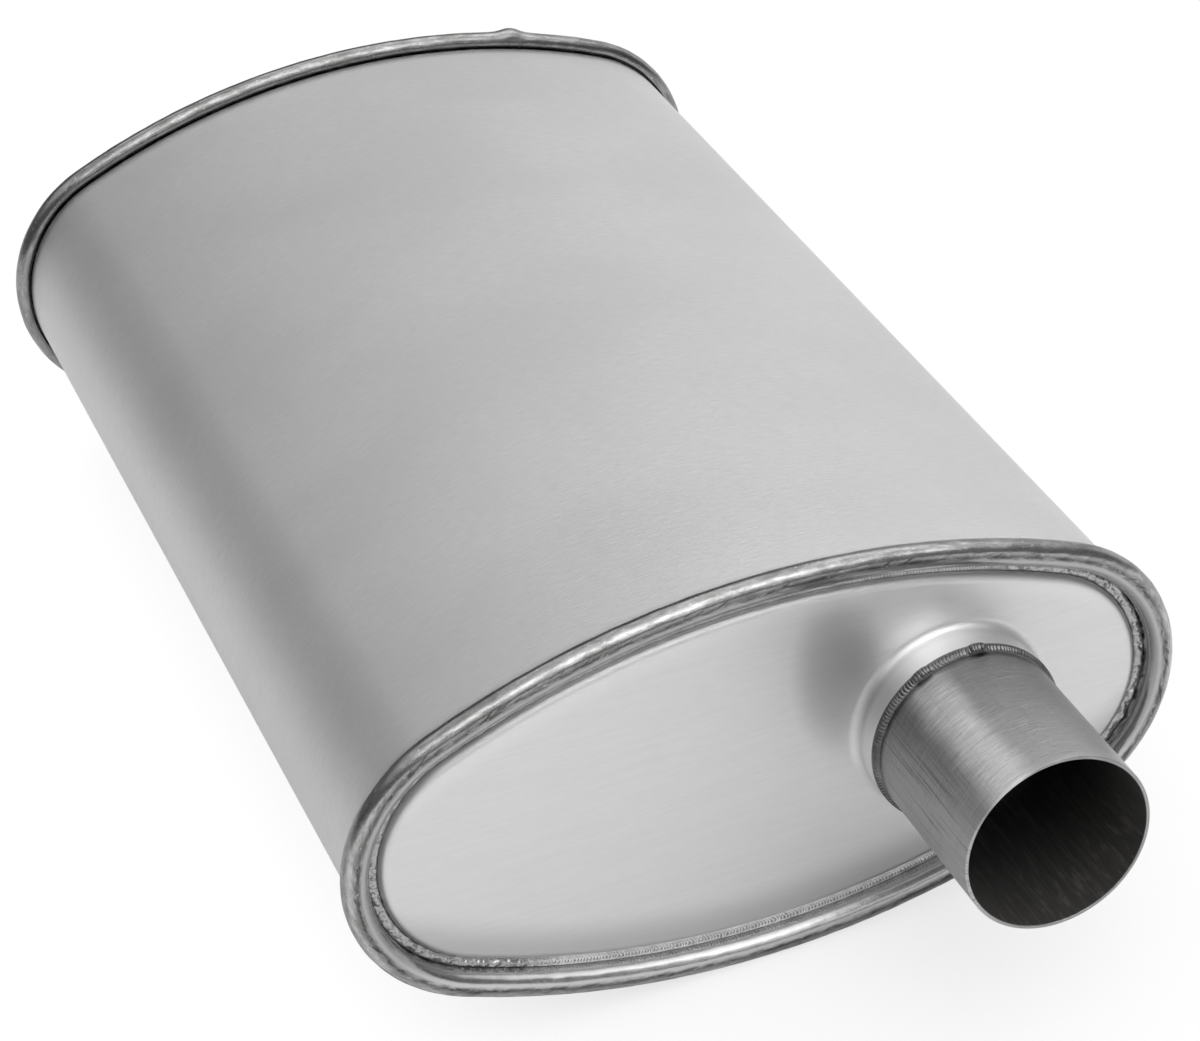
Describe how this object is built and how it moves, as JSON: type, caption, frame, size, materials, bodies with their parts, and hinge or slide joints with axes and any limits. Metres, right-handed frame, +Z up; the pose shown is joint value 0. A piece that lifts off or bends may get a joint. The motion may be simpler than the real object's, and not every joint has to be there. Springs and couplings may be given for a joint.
{
  "type": "muffler",
  "caption": "Oval exhaust muffler with rolled end seams, welded recessed heads, an offset inlet pipe and a centre outlet pipe, and perforated tubes in fibre packing.",
  "frame": {"origin": "centre of the bounding box at its bottom, on the surface that the two end seams rest on", "axes": "+Y along the case from the inlet end to the outlet end, +X along the oval's long axis towards the inlet pipe, +Z up"},
  "size_m": [0.2892, 0.5774, 0.148],
  "materials": {
    "case_steel": "satin sheet steel with a fine grain round the case",
    "head_steel": "matt pressed sheet steel with a fine grain",
    "pipe_steel": "drawn steel tube with sanding scratches",
    "weld_metal": "rippled weld bead, darker than the sheet",
    "inner_steel": "plain sheet steel, unpolished",
    "fibre": "matt mineral fibre"
  },
  "bodies": {
    "root": {"shell": "case_steel", "shell_seam_weld": "weld_metal", "inlet_head": "head_steel", "outlet_head": "head_steel", "inlet_head_weld": "weld_metal", "outlet_head_weld": "weld_metal", "inlet_pipe": "pipe_steel", "outlet_pipe": "pipe_steel", "inlet_pipe_weld": "weld_metal", "outlet_pipe_weld": "weld_metal", "inlet_baffle": "inner_steel", "outlet_baffle": "inner_steel", "inlet_tube": "inner_steel", "return_tube": "inner_steel", "outlet_tube": "inner_steel", "inlet_tube_front_tacks": "weld_metal", "inlet_tube_rear_tacks": "weld_metal", "return_tube_front_tacks": "weld_metal", "return_tube_rear_tacks": "weld_metal", "outlet_tube_front_tacks": "weld_metal", "outlet_tube_rear_tacks": "weld_metal", "fibre_packing": "fibre"}
  },
  "joints": []
}
